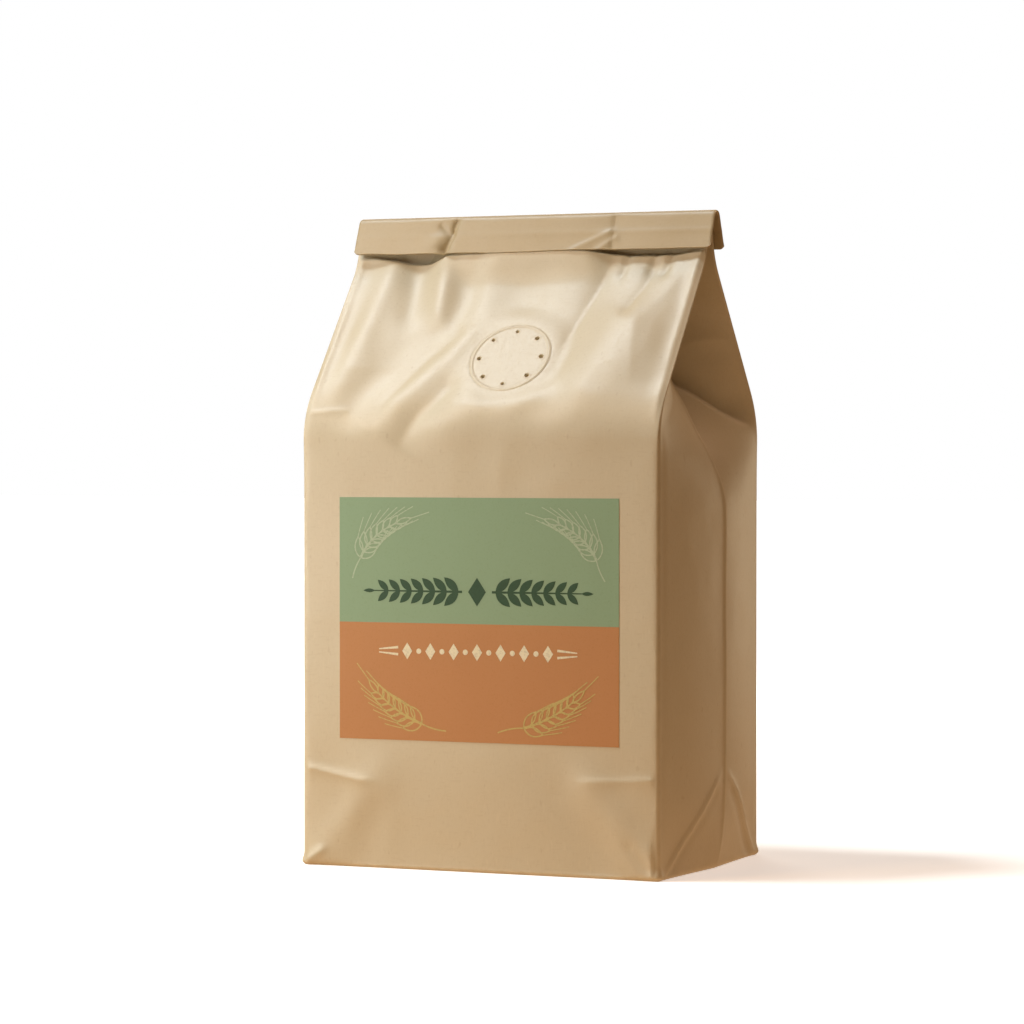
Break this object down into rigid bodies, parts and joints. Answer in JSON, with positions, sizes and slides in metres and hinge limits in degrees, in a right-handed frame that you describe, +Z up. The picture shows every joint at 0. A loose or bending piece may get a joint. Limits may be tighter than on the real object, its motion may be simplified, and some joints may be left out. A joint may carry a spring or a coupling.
{
  "type": "bag of flour",
  "caption": "Upright block-bottomed kraft paper bag of flour with tucked sides, a folded strip over its closed top, a front label and a vent valve.",
  "frame": {"origin": "middle of the flat base, on the surface that the bag stands on", "axes": "+Z up along the bag's height, labelled front towards -Y, +X to the right seen from the front"},
  "size_m": [0.13, 0.0855, 0.204],
  "materials": {
    "kraft_paper": "natural kraft paper, low sheen, fine fibres",
    "strip_paper": "doubled kraft paper, low sheen",
    "label_paper": "matt printed paper, sage green above burnt orange",
    "valve_paper": "kraft paper pressed over the valve, low sheen"
  },
  "bodies": {
    "root": {"bag": "kraft_paper", "top_strip": "strip_paper", "label": "label_paper", "valve": "valve_paper"}
  },
  "joints": []
}
